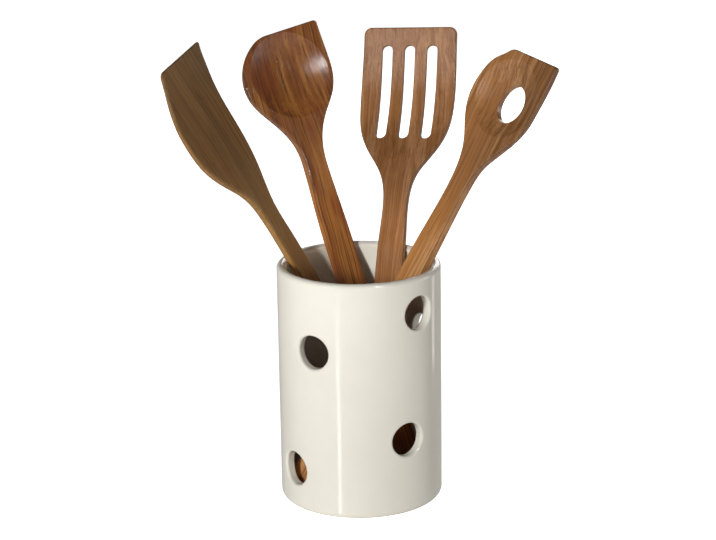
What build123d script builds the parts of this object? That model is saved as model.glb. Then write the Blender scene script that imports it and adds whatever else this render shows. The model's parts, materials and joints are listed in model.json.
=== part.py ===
import os
from math import cos, radians, sin, sqrt

from build123d import *

os.makedirs("parts", exist_ok=True)

# All lengths are in millimetres. The origin is the middle of the crock's underside,
# +Z is up and -Y is the front. A bearing is in degrees round the crock: 0 is the
# front and positive bearings go to the right.

# Crock
crock_diameter = 102
crock_height = 151
wall_thickness = 6
floor_thickness = 7
rim_outer_rounding = 2.6
rim_inner_rounding = 3
base_rounding = 3.5
floor_fillet = 2.5
hole_diameter = 21.4
hole_outer_rounding = 1.5
hole_inner_rounding = 1
# each hole's bearing, and its height as a share of the crock's height
hole_bearings = (-35, 46, -55, 35, 118, -125, 114, -140)
hole_height_shares = (0.701, 0.849, 0.174, 0.3215, 0.656, 0.842, 0.174, 0.334)

# Wooden tools
handle_end_rounding = 7.2
handle_straight_length = 160
edge_rounding = 1
seat_clearance = 0.25
cut_overrun = 5
edge_tolerance = 1

# Slotted turner: a symmetrical blade that dips behind its handle and curls to the front
turner_length = 307.2
turner_width = 63.6
turner_handle_width = 17.8
turner_neck_length = 32.2
turner_corner_radius = 5
turner_dip = 4.5
turner_curl = 3.4
blade_stock = 4.8
blade_middle_thickness = 3.8
blade_tip_thickness = 2.5
blade_neck_share = 0.88
blade_middle_share = 0.48
slot_width_share = 0.116
slot_pitch_share = 0.238
slot_length_share = 0.539
slot_margin_share = 0.1
slot_count = 3

# Flat spatula: its blade sits to the left of the handle and flares at the right tip
spatula_length = 303.1
spatula_width = 54
spatula_handle_width = 15.8
spatula_neck_length = 28.1
spatula_left_radius = 6
spatula_right_radius = 1.2

# Two corner spoons: round heads with one square corner
corner_spoon_length = 302.8
corner_spoon_width = 64
corner_spoon_handle_width = 18.4
corner_spoon_neck_length = 27.8
corner_spoon_bowl_diameter = 56.6
corner_spoon_bowl_drop = 31.8
holed_spoon_length = 309.2
holed_spoon_width = 57
holed_spoon_handle_width = 17.1
holed_spoon_neck_length = 34.2
holed_spoon_bowl_diameter = 49
holed_spoon_bowl_drop = 32.2
spoon_stock = 5.8
spoon_rim_thickness = 3.4
spoon_thinning_start = 82
spoon_thinning_end = 44
spoon_bowl_offset = 1.8
spoon_bowl_depth = 4.6
spoon_back_bulge = 5.2
spoon_corner_radius = 2.2
spoon_hole_width = 20
spoon_hole_length = 24.2
spoon_hole_offset = 5.3
spoon_hole_drop = 34.1

# Outlines of the heads, from the neck up: each point is a share of half the head's
# width to the right of the middle, and a share of the head's reach below the tip
turner_side_shares = (
    (0.257, 1.0),
    (0.289, 0.924),
    (0.392, 0.841),
    (0.6, 0.754),
    (0.799, 0.668),
    (0.922, 0.581),
    (0.984, 0.463),
    (0.996, 0.237),
    (0.986, 0.0),
)
spatula_left_shares = (
    (-0.34, 0.97),
    (-0.38, 0.912),
    (-0.507, 0.832),
    (-0.84, 0.726),
    (-1.18, 0.619),
    (-1.373, 0.522),
    (-1.458, 0.4),
    (-1.451, 0.3),
    (-1.285, 0.17),
    (-0.933, 0.0),
)
spatula_right_shares = (
    (0.28, 0.942),
    (0.38, 0.84),
    (0.49, 0.75),
    (0.575, 0.64),
    (0.609, 0.504),
    (0.617, 0.341),
    (0.683, 0.223),
    (0.8, 0.124),
    (0.973, 0.016),
)
corner_spoon_left_shares = (
    (-0.228, 0.807),
    (-0.257, 0.687),
    (-0.381, 0.606),
    (-0.707, 0.488),
    (-0.959, 0.384),
    (-1.02, 0.295),
    (-0.944, 0.201),
    (-0.79, 0.13),
    (-0.505, 0.059),
    (-0.138, 0.029),
)
corner_spoon_right_shares = (
    (0.258, 0.849),
    (0.277, 0.731),
    (0.39, 0.621),
    (0.622, 0.516),
    (0.899, 0.414),
    (1.018, 0.328),
    (1.04, 0.215),
    (1.015, 0.0),
)
holed_spoon_left_shares = (
    (-0.245, 0.82),
    (-0.29, 0.703),
    (-0.43, 0.599),
    (-0.675, 0.505),
    (-0.886, 0.407),
    (-0.95, 0.3),
    (-0.89, 0.2),
    (-0.746, 0.126),
    (-0.554, 0.078),
    (-0.293, 0.032),
)
holed_spoon_right_shares = (
    (0.265, 0.782),
    (0.32, 0.679),
    (0.475, 0.602),
    (0.686, 0.52),
    (0.862, 0.44),
    (0.965, 0.356),
    (0.985, 0.269),
    (0.948, 0.0),
)

# How each tool stands: the bearings of its foot on the floor, of its handle on the
# rim and of the way that its front faces
turner_bearings = (5, 148.4, -18.9)
spatula_bearings = (123, -109.4, 68)
corner_spoon_bearings = (70.4, -163.5, 33.5)
holed_spoon_bearings = (-72.2, 84.7, -53)
# the corner spoon's foot stands off the wall, and the spatula's is wedged above the floor
corner_spoon_foot_space = 3.6
spatula_foot_lift = 4.3

# Derived sizes
outer_radius = crock_diameter / 2
inner_radius = outer_radius - wall_thickness
rim_seat_height = crock_height - rim_inner_rounding * 0.7
turner_reach = turner_length - handle_straight_length - turner_neck_length
spatula_reach = spatula_length - handle_straight_length - spatula_neck_length
corner_spoon_reach = corner_spoon_length - handle_straight_length - corner_spoon_neck_length
holed_spoon_reach = holed_spoon_length - handle_straight_length - holed_spoon_neck_length
slot_width = turner_width * slot_width_share
slot_pitch = turner_width * slot_pitch_share
slot_length = turner_reach * slot_length_share
slot_middle = turner_length - turner_reach * slot_margin_share - slot_length / 2


def outward(bearing):
    """The level direction that a bearing points in."""
    return Vector(sin(radians(bearing)), -cos(radians(bearing)), 0)


def seat_radius(bearing, corners, limit):
    """How far out a handle's middle may lie before one of its edges meets the wall."""
    direction = outward(bearing)
    reaches = []
    for corner in corners:
        along = corner.dot(direction)
        across = corner.cross(direction).length
        reaches.append(sqrt(limit**2 - across**2) - along)
    return min(reaches)


def leaning_plane(bearings, width, stock, wall_space, lift):
    """A tool's plane in the crock: x across, y up along the handle, z to the front."""
    foot_bearing, rim_bearing, face_bearing = bearings
    facing = outward(face_bearing)
    half_width = width / 2 - edge_rounding * 0.3
    half_stock = stock / 2 - edge_rounding * 0.3
    end_inset = width / 2 - handle_end_rounding
    foot = outward(foot_bearing) * (inner_radius - half_width)
    rim = outward(rim_bearing) * (inner_radius - half_width) + Vector(0, 0, rim_seat_height)
    for settling in range(12):
        axis = (rim - foot).normalized()
        front = (facing - axis * facing.dot(axis)).normalized()
        across = axis.cross(front)
        rim_corners = []
        foot_corners = []
        for side in (-1, 1):
            for face in (-1, 1):
                corner = across * (side * half_width) + front * (face * half_stock)
                rim_corners.append(corner - axis * (corner.Z / axis.Z))
                for turn in (0, 30, 60, 90):
                    reach = end_inset + handle_end_rounding * sin(radians(turn))
                    rise = handle_end_rounding * (1 - cos(radians(turn)))
                    end = across * (side * reach) + axis * rise + front * (face * half_stock)
                    foot_corners.append(Vector(end.X, end.Y, 0))
        rim_reach = seat_radius(rim_bearing, rim_corners, inner_radius - seat_clearance)
        foot_reach = seat_radius(foot_bearing, foot_corners, inner_radius - wall_space)
        end_drop = handle_end_rounding * (sqrt(across.Z**2 + axis.Z**2) - axis.Z)
        drop = abs(across.Z) * end_inset + end_drop + abs(front.Z) * half_stock
        foot_height = floor_thickness + seat_clearance + lift + drop
        rim = outward(rim_bearing) * rim_reach + Vector(0, 0, rim_seat_height)
        foot = outward(foot_bearing) * foot_reach + Vector(0, 0, foot_height)
    return Plane(origin=foot, x_dir=across, z_dir=front)


def side_plane(plane):
    """The plane that shows a tool from its side: x along the handle, y to the front."""
    return Plane(origin=plane.origin, x_dir=plane.y_dir, z_dir=plane.x_dir)


def head_points(shares, length, width, reach):
    """The points of one side of a head, from a table of shares."""
    points = []
    for across_share, reach_share in shares:
        points.append((across_share * width / 2, length - reach_share * reach))
    return points


def tool_outline(width, left, right, left_finish, right_finish):
    """A tool's outline from the front: a straight handle that runs on into its head."""
    left_start = (-width / 2, handle_straight_length)
    right_start = (width / 2, handle_straight_length)
    with BuildLine() as outline:
        Polyline(left_start, (-width / 2, 0), (width / 2, 0), right_start)
        Spline(left_start, *left, tangents=((0, 1), left_finish))
        Spline(right_start, *right, tangents=((0, 1), right_finish))
        Line(left[-1], right[-1])
    return outline.edges()


def blade_profile(length, reach, dip, curl):
    """A flat tool from its side: even stock for the handle, thinner towards the tip."""
    half_stock = blade_stock / 2
    half_middle = blade_middle_thickness / 2
    half_tip = blade_tip_thickness / 2
    neck = length - reach * blade_neck_share
    middle = length - reach * blade_middle_share
    tip = length + cut_overrun
    rise = (reach / 2, (dip + curl) * 1.3)
    with BuildLine() as profile:
        Polyline(
            (neck, half_stock),
            (-cut_overrun, half_stock),
            (-cut_overrun, -half_stock),
            (neck, -half_stock),
        )
        Spline(
            (neck, half_stock),
            (middle, half_middle - dip),
            (tip, curl + half_tip),
            tangents=((1, 0), rise),
        )
        Spline(
            (neck, -half_stock),
            (middle, -half_middle - dip),
            (tip, curl - half_tip),
            tangents=((1, 0), rise),
        )
        Line((tip, curl + half_tip), (tip, curl - half_tip))
    return profile.edges()


def spoon_profile(length):
    """A spoon from its side: a flat front, and a back that thins towards the head's rim."""
    front = spoon_stock / 2
    back = front - spoon_rim_thickness
    with BuildLine() as profile:
        Polyline(
            (length - spoon_thinning_start, -front),
            (-cut_overrun, -front),
            (-cut_overrun, front),
            (length + cut_overrun, front),
            (length + cut_overrun, back),
            (length - spoon_thinning_end, back),
        )
        Spline(
            (length - spoon_thinning_start, -front),
            (length - spoon_thinning_end, back),
            tangents=((1, 0), (1, 0)),
        )
    return profile.edges()


def bowl_plane(plane, height):
    """The plane that cuts a spoon's bowl across: x across the spoon, y to the front."""
    centre = plane.from_local_coords((spoon_bowl_offset, height, spoon_stock / 2))
    return Plane(origin=centre, x_dir=plane.x_dir, z_dir=-plane.y_dir)


def sphere_radius(reach, depth):
    """The radius of the ball whose cap has a given reach and depth."""
    return (reach**2 + depth**2) / (2 * depth)


def bowl_section(reach):
    """Half of the section of the hollow that a spoon's bowl takes out."""
    with BuildLine() as section:
        Polyline((reach, 0), (reach, cut_overrun), (0, cut_overrun), (0, -spoon_bowl_depth))
        RadiusArc((0, -spoon_bowl_depth), (reach, 0), -sphere_radius(reach, spoon_bowl_depth))
    return section.edges()


def bulge_section(reach):
    """Half of the section of the round bulge behind a spoon's bowl."""
    bottom = -spoon_rim_thickness - spoon_back_bulge
    with BuildLine() as section:
        Polyline((reach, -spoon_rim_thickness), (0, -spoon_rim_thickness), (0, bottom))
        RadiusArc((0, bottom), (reach, -spoon_rim_thickness), -sphere_radius(reach, spoon_back_bulge))
    return section.edges()


def beyond(edge, radius):
    """Whether an edge starts further from the Z axis than a radius."""
    start = edge @ 0
    return sqrt(start.X**2 + start.Y**2) > radius


def front_and_back_edges(part, plane):
    """The edges round a tool's front and back, without the joins inside its faces."""
    tip_limit = spatula_length - spatula_reach / 4
    picked = []
    for edge in part.edges():
        middle = plane.to_local_coords(edge @ 0.5)
        across_front = abs((edge % 0.5).dot(plane.z_dir)) < sin(radians(45))
        mid_width = abs(middle.X) < handle_end_rounding / 2
        mid_length = handle_end_rounding < middle.Y < tip_limit
        if across_front and not (mid_width and mid_length):
            picked.append(edge)
    return picked


# Crock: a straight wall with a rounded rim, pierced by scattered round holes
with BuildPart() as crock:
    with BuildSketch(Plane.XZ) as section:
        with BuildLine():
            Polyline(
                (0, 0),
                (outer_radius, 0),
                (outer_radius, crock_height),
                (inner_radius, crock_height),
                (inner_radius, floor_thickness),
                (0, floor_thickness),
                close=True,
            )
        make_face()
        fillet(section.vertices().sort_by_distance((outer_radius, 0))[0], base_rounding)
        fillet(section.vertices().sort_by_distance((outer_radius, crock_height))[0], rim_outer_rounding)
        fillet(section.vertices().sort_by_distance((inner_radius, crock_height))[0], rim_inner_rounding)
        fillet(section.vertices().sort_by_distance((inner_radius, floor_thickness))[0], floor_fillet)
    revolve(axis=Axis.Z)
    for bearing, height_share in zip(hole_bearings, hole_height_shares):
        centre = Vector(0, 0, crock_height * height_share)
        with BuildSketch(Plane(origin=centre, z_dir=outward(bearing))):
            Circle(hole_diameter / 2)
        extrude(amount=outer_radius + cut_overrun, mode=Mode.SUBTRACT)
    hole_edges = crock.edges().filter_by(GeomType.BSPLINE)
    outer_edges = hole_edges.filter_by(lambda edge: beyond(edge, outer_radius - edge_tolerance))
    fillet(outer_edges, hole_outer_rounding)
    hole_edges = crock.edges().filter_by(GeomType.BSPLINE)
    inner_edges = hole_edges.filter_by(lambda edge: not beyond(edge, inner_radius + edge_tolerance))
    fillet(inner_edges, hole_inner_rounding)

# Slotted turner: a flat blade with three long slots
turner_stance = (turner_bearings, turner_handle_width, blade_stock, seat_clearance, 0)
turner_plane = leaning_plane(*turner_stance)
turner_size = (turner_length, turner_width, turner_reach)
turner_right = head_points(turner_side_shares, *turner_size)
turner_left = [(-across, along) for across, along in turner_right]
with BuildPart() as turner:
    with BuildSketch(turner_plane) as outline:
        make_face(tool_outline(turner_handle_width, turner_left, turner_right, (0, 1), (0, 1)))
        fillet(outline.vertices().group_by(Axis.Y)[-1], turner_corner_radius)
        fillet(outline.vertices().group_by(Axis.Y)[0], handle_end_rounding)
    extrude(amount=turner_reach / 4, both=True)
    with BuildSketch(side_plane(turner_plane)):
        make_face(blade_profile(turner_length, turner_reach, turner_dip, turner_curl))
    extrude(amount=turner_width, both=True, mode=Mode.INTERSECT)
    fillet(front_and_back_edges(turner.part, turner_plane), edge_rounding)
    with BuildSketch(turner_plane):
        with Locations((0, slot_middle)):
            with GridLocations(slot_pitch, 0, slot_count, 1):
                SlotOverall(slot_length, slot_width, rotation=90)
    extrude(amount=turner_reach / 4, both=True, mode=Mode.SUBTRACT)

# Flat spatula: a lopsided blade with a straight tip
spatula_stance = (
    spatula_bearings,
    spatula_handle_width,
    blade_stock,
    seat_clearance,
    spatula_foot_lift,
)
spatula_plane = leaning_plane(*spatula_stance)
spatula_size = (spatula_length, spatula_width, spatula_reach)
spatula_left = head_points(spatula_left_shares, *spatula_size)
spatula_right = head_points(spatula_right_shares, *spatula_size)
with BuildPart() as spatula:
    with BuildSketch(spatula_plane) as outline:
        make_face(tool_outline(spatula_handle_width, spatula_left, spatula_right, (0.35, 0.9), (0.45, 0.9)))
        fillet(outline.vertices().sort_by_distance(spatula_left[-1])[0], spatula_left_radius)
        fillet(outline.vertices().sort_by_distance(spatula_right[-1])[0], spatula_right_radius)
        fillet(outline.vertices().group_by(Axis.Y)[0], handle_end_rounding)
    extrude(amount=spatula_reach / 4, both=True)
    with BuildSketch(side_plane(spatula_plane)):
        make_face(blade_profile(spatula_length, spatula_reach, 0, 0))
    extrude(amount=spatula_width, both=True, mode=Mode.INTERSECT)
    fillet(front_and_back_edges(spatula.part, spatula_plane), edge_rounding)

# Corner spoon: a round head with one square corner and a shallow bowl
corner_spoon_stance = (
    corner_spoon_bearings,
    corner_spoon_handle_width,
    spoon_stock,
    corner_spoon_foot_space,
    0,
)
corner_spoon_plane = leaning_plane(*corner_spoon_stance)
corner_spoon_size = (corner_spoon_length, corner_spoon_width, corner_spoon_reach)
corner_spoon_left = head_points(corner_spoon_left_shares, *corner_spoon_size)
corner_spoon_right = head_points(corner_spoon_right_shares, *corner_spoon_size)
corner_spoon_bowl_plane = bowl_plane(corner_spoon_plane, corner_spoon_length - corner_spoon_bowl_drop)
with BuildPart() as corner_spoon:
    with BuildSketch(corner_spoon_plane) as outline:
        corner_spoon_sides = (corner_spoon_left, corner_spoon_right)
        make_face(tool_outline(corner_spoon_handle_width, *corner_spoon_sides, (1, 0.05), (0, 1)))
        fillet(outline.vertices().sort_by_distance(corner_spoon_right[-1])[0], spoon_corner_radius)
        fillet(outline.vertices().group_by(Axis.Y)[0], handle_end_rounding)
    extrude(amount=corner_spoon_reach / 4, both=True)
    with BuildSketch(side_plane(corner_spoon_plane)):
        make_face(spoon_profile(corner_spoon_length))
    extrude(amount=corner_spoon_width, both=True, mode=Mode.INTERSECT)
    fillet(front_and_back_edges(corner_spoon.part, corner_spoon_plane), edge_rounding)
    with BuildSketch(corner_spoon_bowl_plane):
        make_face(bulge_section(corner_spoon_bowl_diameter / 2))
    revolve(axis=Axis(corner_spoon_bowl_plane.origin, corner_spoon_bowl_plane.y_dir))
    with BuildSketch(corner_spoon_bowl_plane):
        make_face(bowl_section(corner_spoon_bowl_diameter / 2))
    revolve(axis=Axis(corner_spoon_bowl_plane.origin, corner_spoon_bowl_plane.y_dir), mode=Mode.SUBTRACT)

# Holed spoon: the same kind of spoon with an oval hole through its bowl
holed_spoon_stance = (holed_spoon_bearings, holed_spoon_handle_width, spoon_stock, seat_clearance, 0)
holed_spoon_plane = leaning_plane(*holed_spoon_stance)
holed_spoon_size = (holed_spoon_length, holed_spoon_width, holed_spoon_reach)
holed_spoon_left = head_points(holed_spoon_left_shares, *holed_spoon_size)
holed_spoon_right = head_points(holed_spoon_right_shares, *holed_spoon_size)
holed_spoon_bowl_plane = bowl_plane(holed_spoon_plane, holed_spoon_length - holed_spoon_bowl_drop)
with BuildPart() as holed_spoon:
    with BuildSketch(holed_spoon_plane) as outline:
        holed_spoon_sides = (holed_spoon_left, holed_spoon_right)
        make_face(tool_outline(holed_spoon_handle_width, *holed_spoon_sides, (1, 0.09), (-0.12, 1)))
        fillet(outline.vertices().sort_by_distance(holed_spoon_right[-1])[0], spoon_corner_radius)
        fillet(outline.vertices().group_by(Axis.Y)[0], handle_end_rounding)
    extrude(amount=holed_spoon_reach / 4, both=True)
    with BuildSketch(side_plane(holed_spoon_plane)):
        make_face(spoon_profile(holed_spoon_length))
    extrude(amount=holed_spoon_width, both=True, mode=Mode.INTERSECT)
    fillet(front_and_back_edges(holed_spoon.part, holed_spoon_plane), edge_rounding)
    with BuildSketch(holed_spoon_bowl_plane):
        make_face(bulge_section(holed_spoon_bowl_diameter / 2))
    revolve(axis=Axis(holed_spoon_bowl_plane.origin, holed_spoon_bowl_plane.y_dir))
    with BuildSketch(holed_spoon_bowl_plane):
        make_face(bowl_section(holed_spoon_bowl_diameter / 2))
    revolve(axis=Axis(holed_spoon_bowl_plane.origin, holed_spoon_bowl_plane.y_dir), mode=Mode.SUBTRACT)
    with BuildSketch(holed_spoon_plane):
        with Locations((spoon_hole_offset, holed_spoon_length - spoon_hole_drop)):
            Ellipse(spoon_hole_width / 2, spoon_hole_length / 2)
    extrude(amount=holed_spoon_reach / 4, both=True, mode=Mode.SUBTRACT)

crock.part.label = "crock"
turner.part.label = "slotted_turner"
spatula.part.label = "flat_spatula"
corner_spoon.part.label = "corner_spoon"
holed_spoon.part.label = "holed_spoon"
export_step(crock.part, "parts/crock.step")
export_step(turner.part, "parts/slotted_turner.step")
export_step(spatula.part, "parts/flat_spatula.step")
export_step(corner_spoon.part, "parts/corner_spoon.step")
export_step(holed_spoon.part, "parts/holed_spoon.step")
for finished in (crock, turner, spatula, corner_spoon, holed_spoon):
    counts = (len(finished.part.solids()), len(finished.part.faces()))
    print(finished.part.label, round(finished.part.volume), *counts)
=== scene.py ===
import json
import math

import bpy
from mathutils import Matrix, Vector


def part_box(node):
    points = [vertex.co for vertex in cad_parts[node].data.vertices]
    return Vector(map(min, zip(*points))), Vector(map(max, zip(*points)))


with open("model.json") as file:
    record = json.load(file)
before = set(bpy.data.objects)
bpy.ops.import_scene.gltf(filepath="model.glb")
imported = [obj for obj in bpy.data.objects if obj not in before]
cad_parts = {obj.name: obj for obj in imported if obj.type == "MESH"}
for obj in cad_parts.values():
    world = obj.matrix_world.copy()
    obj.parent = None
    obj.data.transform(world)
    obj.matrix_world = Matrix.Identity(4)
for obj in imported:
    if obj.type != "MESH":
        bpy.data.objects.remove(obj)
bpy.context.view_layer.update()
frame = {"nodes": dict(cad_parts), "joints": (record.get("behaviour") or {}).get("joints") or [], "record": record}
print("frame loaded")

nodes = frame["nodes"]


# small helpers for material node trees

def newMaterial(name):
    material = bpy.data.materials.new(name)
    material.use_nodes = True
    tree = material.node_tree
    tree.nodes.clear()
    output = tree.nodes.new("ShaderNodeOutputMaterial")
    shader = tree.nodes.new("ShaderNodeBsdfPrincipled")
    tree.links.new(shader.outputs["BSDF"], output.inputs["Surface"])
    return material, tree, shader


def addNode(tree, kind, **settings):
    node = tree.nodes.new(kind)
    for key, value in settings.items():
        setattr(node, key, value)
    return node


def feed(tree, node, socket, value):
    # a socket is fed by another node's output, or set to a plain value
    if isinstance(value, bpy.types.NodeSocket):
        tree.links.new(value, node.inputs[socket])
    else:
        node.inputs[socket].default_value = value


def calc(tree, operation, first, second=0.0):
    node = addNode(tree, "ShaderNodeMath", operation=operation)
    feed(tree, node, 0, first)
    feed(tree, node, 1, second)
    return node.outputs[0]


def remap(tree, value, span, result=(0.0, 1.0), smooth=True):
    # takes a value from one pair of limits to another
    kind = "SMOOTHSTEP" if smooth else "LINEAR"
    node = addNode(tree, "ShaderNodeMapRange", interpolation_type=kind)
    feed(tree, node, 0, value)
    for socket, number in enumerate((*span, *result), start=1):
        feed(tree, node, socket, number)
    return node.outputs[0]


def blendColours(tree, factor, first, second):
    node = addNode(tree, "ShaderNodeMix", data_type="RGBA")
    feed(tree, node, 0, factor)
    feed(tree, node, 6, first)
    feed(tree, node, 7, second)
    return node.outputs[2]


def blendPartly(tree, mask, share, first, second):
    # at most a share of the second colour, where the mask is full
    return blendColours(tree, calc(tree, "MULTIPLY", mask, share), first, second)


def noise(tree, vector, scale, detail=2.0, roughness=0.5):
    node = addNode(tree, "ShaderNodeTexNoise")
    feed(tree, node, "Vector", vector)
    feed(tree, node, "Scale", scale)
    feed(tree, node, "Detail", detail)
    feed(tree, node, "Roughness", roughness)
    return node.outputs[0]


def stretched(tree, vector, scale):
    node = addNode(tree, "ShaderNodeMapping")
    feed(tree, node, "Vector", vector)
    node.inputs["Scale"].default_value = scale
    return node.outputs[0]


def separated(tree, vector):
    node = addNode(tree, "ShaderNodeSeparateXYZ")
    feed(tree, node, 0, vector)
    return node.outputs


def roughen(tree, height, strength, distance):
    node = addNode(tree, "ShaderNodeBump")
    node.inputs["Strength"].default_value = strength
    node.inputs["Distance"].default_value = distance
    feed(tree, node, "Height", height)
    return node.outputs[0]


# millimetres are easier to think in than the frame's metres
toMillimetres = (1000, 1000, 1000)


# glaze of the crock

crockGlaze = {
    "lit": (0.88, 0.85, 0.755, 1),
    "thin": (0.80, 0.765, 0.665, 1),
    # inside: the inner cream, painted lighter than the outside as painted light; deep: painted shade deep inside
    # the crock
    "inside": (0.95, 0.92, 0.80, 1),
    "deep": (0.74, 0.70, 0.65, 1),
    "speck": (0.42, 0.33, 0.22, 1),
    "ior": 1.5,
    # each noise is its scale per millimetre, its detail and its roughness
    "cloudNoise": (0.02, 3.0, 0.55),
    "cloudSpan": (0.35, 0.7),
    "cloudShare": 0.35,
    "speckNoise": (0.55, 1.0, 0.5),
    "speckSpan": (0.80, 0.86),
    "speckShare": 0.35,
    "roughness": (0.1, 0.17),
    "roughnessNoise": (0.06, 2.0, 0.5),
    "roughnessSpan": (0.3, 0.7),
    "waveStretch": (1, 1, 2.2),
    "waveNoise": (0.035, 2.0, 0.5),
    "peelNoise": (0.5, 1.0, 0.5),
    "peelShare": 0.02,
    "bumpStrength": 0.25,
    "bumpDistance": 0.0006,
    # metres: how far in from the outside the inner glaze starts, and where the painted shade deep inside the crock
    # ends
    "insideStep": 0.0056,
    "paintedShadeSpan": (0.112, 0.124),
    "wobbleNoise": (0.05, 2.0, 0.5),
    "wobble": 0.008,
}


def innerPaintedLightAndShade(tree, place, inMillimetres):
    # painted light and shade inside: cream painted lighter than the outside under the rim, and painted shade
    # further down
    height = separated(tree, place)[2]
    spread = noise(tree, inMillimetres, *crockGlaze["wobbleNoise"])
    edge = calc(tree, "ADD", height, calc(tree, "MULTIPLY", spread, crockGlaze["wobble"]))
    paintedShadeShare = remap(tree, edge, crockGlaze["paintedShadeSpan"], (1.0, 0.0))
    return blendColours(tree, paintedShadeShare, crockGlaze["inside"], crockGlaze["deep"])


def insideMask(tree, place):
    across, back = separated(tree, place)[:2]
    squares = calc(tree, "ADD", calc(tree, "POWER", across, 2), calc(tree, "POWER", back, 2))
    radius = calc(tree, "SQRT", squares)
    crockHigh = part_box("crock")[1]
    return calc(tree, "LESS_THAN", radius, crockHigh.x - crockGlaze["insideStep"])


def makeCrockGlaze():
    material, tree, shader = newMaterial("crockGlaze")
    place = addNode(tree, "ShaderNodeTexCoord").outputs["Object"]
    inMillimetres = stretched(tree, place, toMillimetres)
    cloud = noise(tree, inMillimetres, *crockGlaze["cloudNoise"])
    patch = remap(tree, cloud, crockGlaze["cloudSpan"])
    base = blendPartly(tree, patch, crockGlaze["cloudShare"], crockGlaze["lit"], crockGlaze["thin"])
    # a few pinprick specks of iron that bled through the glaze
    speckMap = noise(tree, inMillimetres, *crockGlaze["speckNoise"])
    specks = remap(tree, speckMap, crockGlaze["speckSpan"])
    base = blendPartly(tree, specks, crockGlaze["speckShare"], base, crockGlaze["speck"])
    paintedInside = innerPaintedLightAndShade(tree, place, inMillimetres)
    base = blendColours(tree, insideMask(tree, place), base, paintedInside)
    feed(tree, shader, "Base Color", base)
    dullness = noise(tree, inMillimetres, *crockGlaze["roughnessNoise"])
    dull = remap(tree, dullness, crockGlaze["roughnessSpan"], crockGlaze["roughness"])
    feed(tree, shader, "Roughness", dull)
    shader.inputs["IOR"].default_value = crockGlaze["ior"]
    # slow waves from the making, and the faint orange peel of the glaze
    waveSpace = stretched(tree, inMillimetres, crockGlaze["waveStretch"])
    waves = noise(tree, waveSpace, *crockGlaze["waveNoise"])
    peel = noise(tree, inMillimetres, *crockGlaze["peelNoise"])
    relief = calc(tree, "ADD", waves, calc(tree, "MULTIPLY", peel, crockGlaze["peelShare"]))
    bump = roughen(tree, relief, crockGlaze["bumpStrength"], crockGlaze["bumpDistance"])
    feed(tree, shader, "Normal", bump)
    return material


# wood of the four tools

# bands, streaks: how strongly the growth shows; lean: how far the grain leans, in degrees
# handleLift: how much lighter the handle is; neckShade: how much darker the neck is, as painted shade
# polish: the shine of the head; then painted light and shade, the brightness at its left and right
# edge: the colour of the painted shade on the rounded edges
woodTools = {
    "slotted_turner": {
        "light": (0.48, 0.24, 0.105, 1),
        "middle": (0.33, 0.14, 0.045, 1),
        "dark": (0.13, 0.045, 0.011, 1),
        "edge": (0.09, 0.045, 0.022, 1),
        "blush": (0.4, 0.19, 0.088, 1),
        "bands": 0.85,
        "streaks": 0.45,
        "lean": 0.0,
        "handleLift": 0.16,
        "neckShade": 0.3,
        "polish": 0.5,
        "paintedSideLightAndShade": (1.0, 1.04),
        "shift": (3, 11, 5),
    },
    "flat_spatula": {
        "light": (0.3, 0.155, 0.05, 1),
        "middle": (0.235, 0.115, 0.032, 1),
        "dark": (0.12, 0.052, 0.013, 1),
        "edge": (0.09, 0.05, 0.022, 1),
        "blush": (0.215, 0.122, 0.043, 1),
        "bands": 0.75,
        "streaks": 0.5,
        "lean": 0.0,
        "handleLift": 0.5,
        "neckShade": 0,
        "polish": 0.18,
        "paintedSideLightAndShade": (1.18, 0.96),
        "shift": (41, 7, 19),
    },
    "corner_spoon": {
        "light": (0.42, 0.166, 0.036, 1),
        "middle": (0.28, 0.094, 0.021, 1),
        "dark": (0.13, 0.036, 0.008, 1),
        "edge": (0.08, 0.035, 0.015, 1),
        "blush": (0.25, 0.062, 0.018, 1),
        "bands": 1.0,
        "streaks": 0.85,
        "lean": 1.0,
        "handleLift": 0.27,
        "neckShade": 0,
        "polish": 0.7,
        "paintedSideLightAndShade": (0.92, 1.06),
        "shift": (13, 29, 3),
    },
    "holed_spoon": {
        "light": (0.52, 0.27, 0.115, 1),
        "middle": (0.335, 0.145, 0.042, 1),
        "dark": (0.15, 0.055, 0.014, 1),
        "edge": (0.11, 0.05, 0.022, 1),
        "blush": (0.35, 0.15, 0.05, 1),
        "bands": 0.9,
        "streaks": 0.6,
        "lean": -3.0,
        "handleLift": 0.45,
        "neckShade": 0,
        "polish": 0.62,
        "paintedSideLightAndShade": (1.22, 0.66),
        "shift": (23, 2, 31),
    },
}


# how a tool's flat front and its foot are picked out of its mesh
toolShape = {
    "leastUpward": 0.3,
    "flatness": 0.002,
    "footDepth": 0.00001,
}


def standing(name):
    # a tool's foot, its direction along the handle and the way its front faces
    bodies = frame["record"]["behaviour"]["bodies"]
    body = next(body for body, held in bodies.items() if name in held)
    axis = next(joint["axis"] for joint in frame["joints"] if joint["child"] == body)
    along = Vector(axis).normalized()
    mesh = nodes[name].data
    flats = []
    for face in mesh.polygons:
        squareOn = abs(face.normal.dot(along)) < toolShape["flatness"]
        if squareOn and face.normal.z > toolShape["leastUpward"]:
            flats.append(face)
    front = max(flats, key=lambda face: face.area).normal
    front = (front - along * front.dot(along)).normalized()
    lowest = min(vertex.co.dot(along) for vertex in mesh.vertices)
    reach = lowest + toolShape["footDepth"]
    end = [vertex.co for vertex in mesh.vertices if vertex.co.dot(along) < reach]
    foot = sum(end, Vector()) / len(end)
    return foot, along, front


def toolCoordinates(tree, foot, along, front):
    # the tool's own axes: x across, y along the handle, z to the front, in millimetres
    across = along.cross(front)
    turn = Matrix((across, along, front))
    place = addNode(tree, "ShaderNodeTexCoord").outputs["Object"]
    mapping = addNode(tree, "ShaderNodeMapping")
    feed(tree, mapping, "Vector", place)
    mapping.inputs["Rotation"].default_value = turn.to_euler()
    mapping.inputs["Location"].default_value = turn @ -foot
    return stretched(tree, mapping.outputs[0], toMillimetres)


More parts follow.
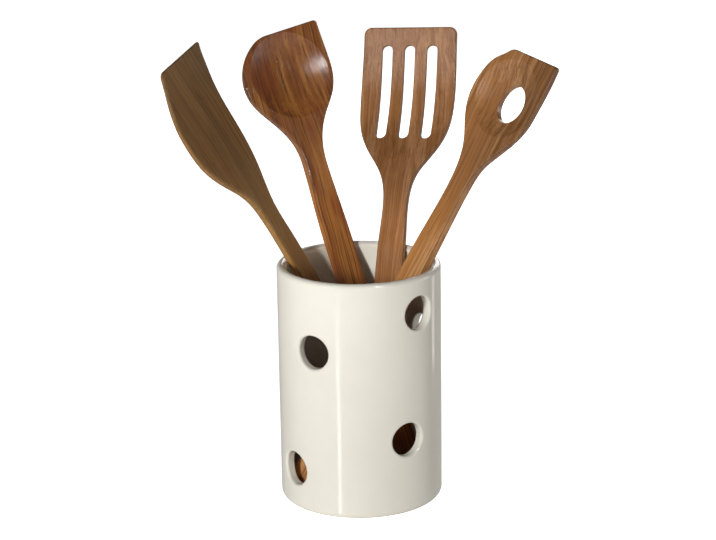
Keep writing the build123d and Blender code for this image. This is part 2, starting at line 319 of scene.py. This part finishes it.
woodGrain = {
    # how the growth is drawn out: across, along and through the tool, per millimetre
    "wanderStretch": (0.012, 0.009, 0.012),
    "bandStretch": (0.2, 0.003, 0.14),
    "blushStretch": (0.035, 0.016, 0.03),
    "lineStretch": (0.75, 0.0055, 0.5),
    "fibreStretch": (1.6, 0.022, 1.4),
    "poreStretch": (3.2, 0.1, 3.0),
    # each noise is its scale, its detail and its roughness
    "plainNoise": (1.0, 2.0, 0.5),
    "bandNoise": (1.0, 3.0, 0.55),
    "lineNoise": (1.0, 3.0, 0.6),
    "fibreNoise": (1.0, 4.0, 0.7),
    # the part of each noise that shows, and how strongly
    "bandSpan": (0.41, 0.6),
    "blushSpan": (0.47, 0.62),
    "blushShare": 0.7,
    "lineSpan": (0.5, 0.63),
    "fibreSpan": (0.42, 0.66),
    "fibreShare": 0.42,
    "poreSpan": (0.6, 0.7),
    "poreShare": 0.4,
    # millimetres that the grain wanders, across the tool and through it
    "wanderAcross": 18.0,
    "wanderDeep": 8.0,
}

woodFinish = {
    "ior": 1.42,
    "specular": 0.2,
    "roughness": (0.42, 0.56),
    "roughnessSpan": (0.3, 0.7),
    "poreRoughness": 0.2,
    "coatRoughness": 0.15,
    "handleCoat": 0.05,
    "bumpStrength": 0.3,
    "bumpDistance": 0.0003,
    "poreDepth": 0.8,
    # painted shade goes on a rounded edge, which is what faces neither the front nor the side
    "edgeFromFront": (0.93, 0.75),
    "edgeFromSide": (0.1, 0.4),
    "edgeShadeShare": 0.6,
    # millimetres up the tool where the handle ends, the neck starts and stops and the polish begins
    "handleSpan": (180, 245),
    "neckStart": (175, 205),
    "neckStop": (255, 225),
    "coatSpan": (170, 235),
    "sideReach": 24,
}


def bentGrain(tree, place, tool):
    # the grain wanders a little as it runs up the handle
    leaned = addNode(tree, "ShaderNodeMapping")
    feed(tree, leaned, "Vector", place)
    leaned.inputs["Rotation"].default_value = (0, 0, math.radians(tool["lean"]))
    leaned.inputs["Location"].default_value = tool["shift"]
    wanderSpace = stretched(tree, leaned.outputs[0], woodGrain["wanderStretch"])
    wander = noise(tree, wanderSpace, *woodGrain["plainNoise"])
    across, along, deep = separated(tree, leaned.outputs[0])
    sideways = calc(tree, "MULTIPLY", wander, woodGrain["wanderAcross"])
    inwards = calc(tree, "MULTIPLY", wander, woodGrain["wanderDeep"])
    joined = addNode(tree, "ShaderNodeCombineXYZ")
    feed(tree, joined, 0, calc(tree, "ADD", across, sideways))
    feed(tree, joined, 1, along)
    feed(tree, joined, 2, calc(tree, "ADD", deep, inwards))
    return joined.outputs[0]


def growth(tree, grain, layer, kind):
    return noise(tree, stretched(tree, grain, woodGrain[layer + "Stretch"]), *woodGrain[kind])


def grainTone(tree, grain, tool, fibres, poreMask):
    # broad bands of early and late growth
    bands = remap(tree, growth(tree, grain, "band", "bandNoise"), woodGrain["bandSpan"])
    tone = blendPartly(tree, bands, tool["bands"], tool["middle"], tool["light"])
    # redder patches where the oil soaked in
    patch = remap(tree, growth(tree, grain, "blush", "plainNoise"), woodGrain["blushSpan"])
    tone = blendPartly(tree, patch, woodGrain["blushShare"], tone, tool["blush"])
    # narrow dark growth lines, then fine fibres and the short open pores between them
    lines = remap(tree, growth(tree, grain, "line", "lineNoise"), woodGrain["lineSpan"])
    tone = blendPartly(tree, lines, tool["streaks"], tone, tool["dark"])
    strands = remap(tree, fibres, woodGrain["fibreSpan"])
    tone = blendPartly(tree, strands, woodGrain["fibreShare"], tone, tool["dark"])
    return blendPartly(tree, poreMask, woodGrain["poreShare"], tone, tool["dark"])


def edgeShadeMask(tree, front):
    facing = addNode(tree, "ShaderNodeVectorMath", operation="DOT_PRODUCT")
    feed(tree, facing, 0, addNode(tree, "ShaderNodeNewGeometry").outputs["Normal"])
    facing.inputs[1].default_value = front
    turned = calc(tree, "ABSOLUTE", facing.outputs["Value"])
    offFront = remap(tree, turned, woodFinish["edgeFromFront"])
    offSide = remap(tree, turned, woodFinish["edgeFromSide"])
    return calc(tree, "MULTIPLY", offFront, offSide)


def brightness(tree, across, height, tool):
    # the handles are lighter than the heads; the neck is darkened as painted shade, and one side is lighter than
    # the other as painted light and shade
    lift = remap(tree, height, woodFinish["handleSpan"], (1 + tool["handleLift"], 1.0))
    neckStart = remap(tree, height, woodFinish["neckStart"])
    neckStop = remap(tree, height, woodFinish["neckStop"])
    neck = calc(tree, "MULTIPLY", neckStart, neckStop)
    lift = calc(tree, "SUBTRACT", lift, calc(tree, "MULTIPLY", neck, tool["neckShade"]))
    reach = woodFinish["sideReach"]
    # painted light and shade across the width: one side lighter, the other darker
    paintedSides = remap(tree, across, (-reach, reach), tool["paintedSideLightAndShade"], smooth=False)
    return calc(tree, "MULTIPLY", lift, paintedSides)


def makeToolWood(name, tool):
    material, tree, shader = newMaterial(name + "Wood")
    foot, along, front = standing(name)
    place = toolCoordinates(tree, foot, along, front)
    grain = bentGrain(tree, place, tool)
    fibres = growth(tree, grain, "fibre", "fibreNoise")
    poreMask = remap(tree, growth(tree, grain, "pore", "plainNoise"), woodGrain["poreSpan"])
    tone = grainTone(tree, grain, tool, fibres, poreMask)
    # painted shade: the rounded edges are painted darker
    edgeShade = edgeShadeMask(tree, front)
    tone = blendPartly(tree, edgeShade, woodFinish["edgeShadeShare"], tone, tool["edge"])
    across, height = separated(tree, place)[:2]
    brighter = addNode(tree, "ShaderNodeHueSaturation")
    feed(tree, brighter, "Value", brightness(tree, across, height, tool))
    feed(tree, brighter, "Color", tone)
    feed(tree, shader, "Base Color", brighter.outputs[0])
    gloss = remap(tree, fibres, woodFinish["roughnessSpan"], woodFinish["roughness"])
    poreGloss = calc(tree, "MULTIPLY", poreMask, woodFinish["poreRoughness"])
    feed(tree, shader, "Roughness", calc(tree, "ADD", gloss, poreGloss))
    shader.inputs["IOR"].default_value = woodFinish["ior"]
    shader.inputs["Specular IOR Level"].default_value = woodFinish["specular"]
    # the heads are polished, and the handles are worn matt
    coat = remap(tree, height, woodFinish["coatSpan"], (woodFinish["handleCoat"], tool["polish"]))
    feed(tree, shader, "Coat Weight", coat)
    shader.inputs["Coat Roughness"].default_value = woodFinish["coatRoughness"]
    hollows = calc(tree, "MULTIPLY", poreMask, woodFinish["poreDepth"])
    relief = calc(tree, "SUBTRACT", fibres, hollows)
    bump = roughen(tree, relief, woodFinish["bumpStrength"], woodFinish["bumpDistance"])
    feed(tree, shader, "Normal", bump)
    feed(tree, shader, "Coat Normal", bump)
    return material


def dress(node, material):
    mesh = nodes[node].data
    mesh.materials.clear()
    mesh.materials.append(material)


dress("crock", makeCrockGlaze())
for name, tool in woodTools.items():
    dress(name, makeToolWood(name, tool))
print("materials made")


# floor, backdrop, lights and camera
studio = {
    "floorSize": 6,
    "paper": (0.8, 0.79, 0.77, 1),
    "white": (1, 1, 1, 1),
    "paperGlow": 0.93,
    "roomTint": (1.0, 0.985, 0.96, 1),
    "ringStrength": 0.97,
    "backStrength": 0.36,
    "topStrength": 0.035,
    # the room's light fades from the front to the back, and from the ring upwards
    "frontSpan": (-0.1, 0.6),
    "ringSpan": (0.08, 0.34),
    "lampTarget": (0, 0, 0.15),
    "mouthTarget": (0.012, 0.044, 0.146),
    "mouthSpread": 4.2,
    "mouthPower": 30,
    "mouthSoftness": 0.08,
}

# lamps: bearing and height in degrees, distance and size in metres, power in watts
roomLamps = {
    "keyLamp": {
        "bearing": -30,
        "height": 15.6,
        "distance": 1.6,
        "size": (0.16, 0.28),
        "power": 15.0,
        "reflected": False,
    },
    "rightLamp": {
        "bearing": 100,
        "height": 6,
        "distance": 1.4,
        "size": (0.5, 0.5),
        "power": 2.45,
        "reflected": True,
    },
    "backLamp": {
        "bearing": 165,
        "height": 20,
        "distance": 1.4,
        "size": (0.7, 0.7),
        "power": 5,
        "reflected": True,
    },
}

# lamps that only show as reflections, each aimed at its own target
sheenLamps = {
    "glazeStrip": {
        "target": (0, 0, 0.07),
        "bearing": -30.5,
        "height": -21,
        "distance": 1.4,
        "size": (0.08, 0.31),
        "power": 0.55,
    },
    "glazeEdge": {
        "target": (0.045, -0.023, 0.1),
        "bearing": 128,
        "height": -16,
        "distance": 1.4,
        "size": (0.12, 0.16),
        "power": 0.12,
    },
    "bowlSpark": {
        "target": (-0.023, 0.089, 0.26),
        "bearing": 27,
        "height": 29,
        "distance": 1.4,
        "size": (0.13, 0.17),
        "power": 6.4,
    },
    "headSheet": {
        "target": (0.03, 0.09, 0.26),
        "bearing": -41,
        "height": 23,
        "distance": 1.4,
        "size": (0.5, 0.36),
        "power": 2.6,
    },
}


def makeFloor():
    bpy.ops.object.select_all(action="DESELECT")
    bpy.ops.mesh.primitive_plane_add(size=studio["floorSize"], location=(0, 0, 0))
    floor = bpy.context.object
    floor.name = "studioFloor"
    material = bpy.data.materials.new("studioFloor")
    material.use_nodes = True
    tree = material.node_tree
    tree.nodes.clear()
    output = addNode(tree, "ShaderNodeOutputMaterial")
    path = addNode(tree, "ShaderNodeLightPath")
    seen = path.outputs["Is Camera Ray"]
    # the camera sees the floor as white paper, and it still takes the crock's shadow
    paper = blendColours(tree, seen, studio["paper"], studio["white"])
    diffuse = addNode(tree, "ShaderNodeBsdfDiffuse")
    feed(tree, diffuse, "Color", paper)
    glow = addNode(tree, "ShaderNodeEmission")
    glow.inputs["Strength"].default_value = studio["paperGlow"]
    shown = addNode(tree, "ShaderNodeAddShader")
    tree.links.new(diffuse.outputs[0], shown.inputs[0])
    tree.links.new(glow.outputs[0], shown.inputs[1])
    mix = addNode(tree, "ShaderNodeMixShader")
    feed(tree, mix, 0, seen)
    tree.links.new(diffuse.outputs[0], mix.inputs[1])
    tree.links.new(shown.outputs[0], mix.inputs[2])
    tree.links.new(mix.outputs[0], output.inputs["Surface"])
    floor.data.materials.append(material)
    floor.visible_glossy = False
    floor.visible_shadow = False


def aim(lamp, values, target):
    turned = math.radians(values["bearing"])
    raised = math.radians(values["height"])
    level = math.cos(raised)
    away = Vector((math.sin(turned) * level, -math.cos(turned) * level, math.sin(raised)))
    lamp.location = Vector(target) + away * values["distance"]
    lamp.rotation_euler = away.to_track_quat("Z", "Y").to_euler()


def addLamp(name, values):
    bpy.ops.object.select_all(action="DESELECT")
    bpy.ops.object.light_add(type="AREA")
    lamp = bpy.context.object
    lamp.name = name
    lamp.data.shape = "RECTANGLE"
    lamp.data.size, lamp.data.size_y = values["size"]
    lamp.data.energy = values["power"]
    lamp.visible_camera = False
    aim(lamp, values, values.get("target", studio["lampTarget"]))
    return lamp


def makeLights():
    for name, values in roomLamps.items():
        lamp = addLamp(name, values)
        # the key's reflection would blow out the polished heads, seen from the side
        lamp.visible_glossy = values["reflected"]
    for name, values in sheenLamps.items():
        lamp = addLamp(name, values)
        lamp.visible_diffuse = False
    # more of the key's light falls into the crock's mouth
    bpy.ops.object.select_all(action="DESELECT")
    bpy.ops.object.light_add(type="SPOT")
    mouth = bpy.context.object
    mouth.name = "mouthLamp"
    mouth.data.energy = studio["mouthPower"]
    mouth.data.spot_size = math.radians(studio["mouthSpread"])
    mouth.data.spot_blend = 1.0
    mouth.data.shadow_soft_size = studio["mouthSoftness"]
    mouth.visible_camera = False
    mouth.visible_glossy = False
    aim(mouth, roomLamps["keyLamp"], studio["mouthTarget"])


def makeWorld():
    world = bpy.data.worlds.new("studioWorld")
    bpy.context.scene.world = world
    world.use_nodes = True
    tree = world.node_tree
    tree.nodes.clear()
    output = addNode(tree, "ShaderNodeOutputWorld")
    # the room: bright low down in front and at the sides, dim above and behind
    direction = addNode(tree, "ShaderNodeTexCoord").outputs["Generated"]
    back, up = separated(tree, direction)[1:]
    frontShare = remap(tree, back, studio["frontSpan"], (1.0, 0.0))
    heightShare = remap(tree, up, studio["ringSpan"], (1.0, 0.0))
    strengths = (studio["backStrength"], studio["ringStrength"])
    level = remap(tree, frontShare, (0.0, 1.0), strengths, smooth=False)
    level = calc(tree, "MULTIPLY", level, heightShare)
    level = calc(tree, "ADD", level, studio["topStrength"])
    room = addNode(tree, "ShaderNodeBackground")
    room.inputs["Color"].default_value = studio["roomTint"]
    feed(tree, room, "Strength", level)
    # the camera sees plain white behind the crock
    white = addNode(tree, "ShaderNodeBackground")
    white.inputs["Color"].default_value = studio["white"]
    white.inputs["Strength"].default_value = 1.0
    path = addNode(tree, "ShaderNodeLightPath")
    mix = addNode(tree, "ShaderNodeMixShader")
    feed(tree, mix, 0, path.outputs["Is Camera Ray"])
    tree.links.new(room.outputs[0], mix.inputs[1])
    tree.links.new(white.outputs[0], mix.inputs[2])
    tree.links.new(mix.outputs[0], output.inputs["Surface"])


photoCamera = {
    "place": (0, -1.3229, 0.5378),
    "turn": (73.4913, 0.8405, -0.2319),
    "lens": 111.8,
}


def makeCamera():
    bpy.ops.object.select_all(action="DESELECT")
    bpy.ops.object.camera_add(location=photoCamera["place"])
    camera = bpy.context.object
    camera.name = "photoCamera"
    camera.rotation_euler = [math.radians(angle) for angle in photoCamera["turn"]]
    camera.data.sensor_width = 36
    camera.data.lens = photoCamera["lens"]
    bpy.context.scene.camera = camera


makeFloor()
makeLights()
makeWorld()
makeCamera()
bpy.context.scene.view_settings.view_transform = "Standard"
print("studio built")
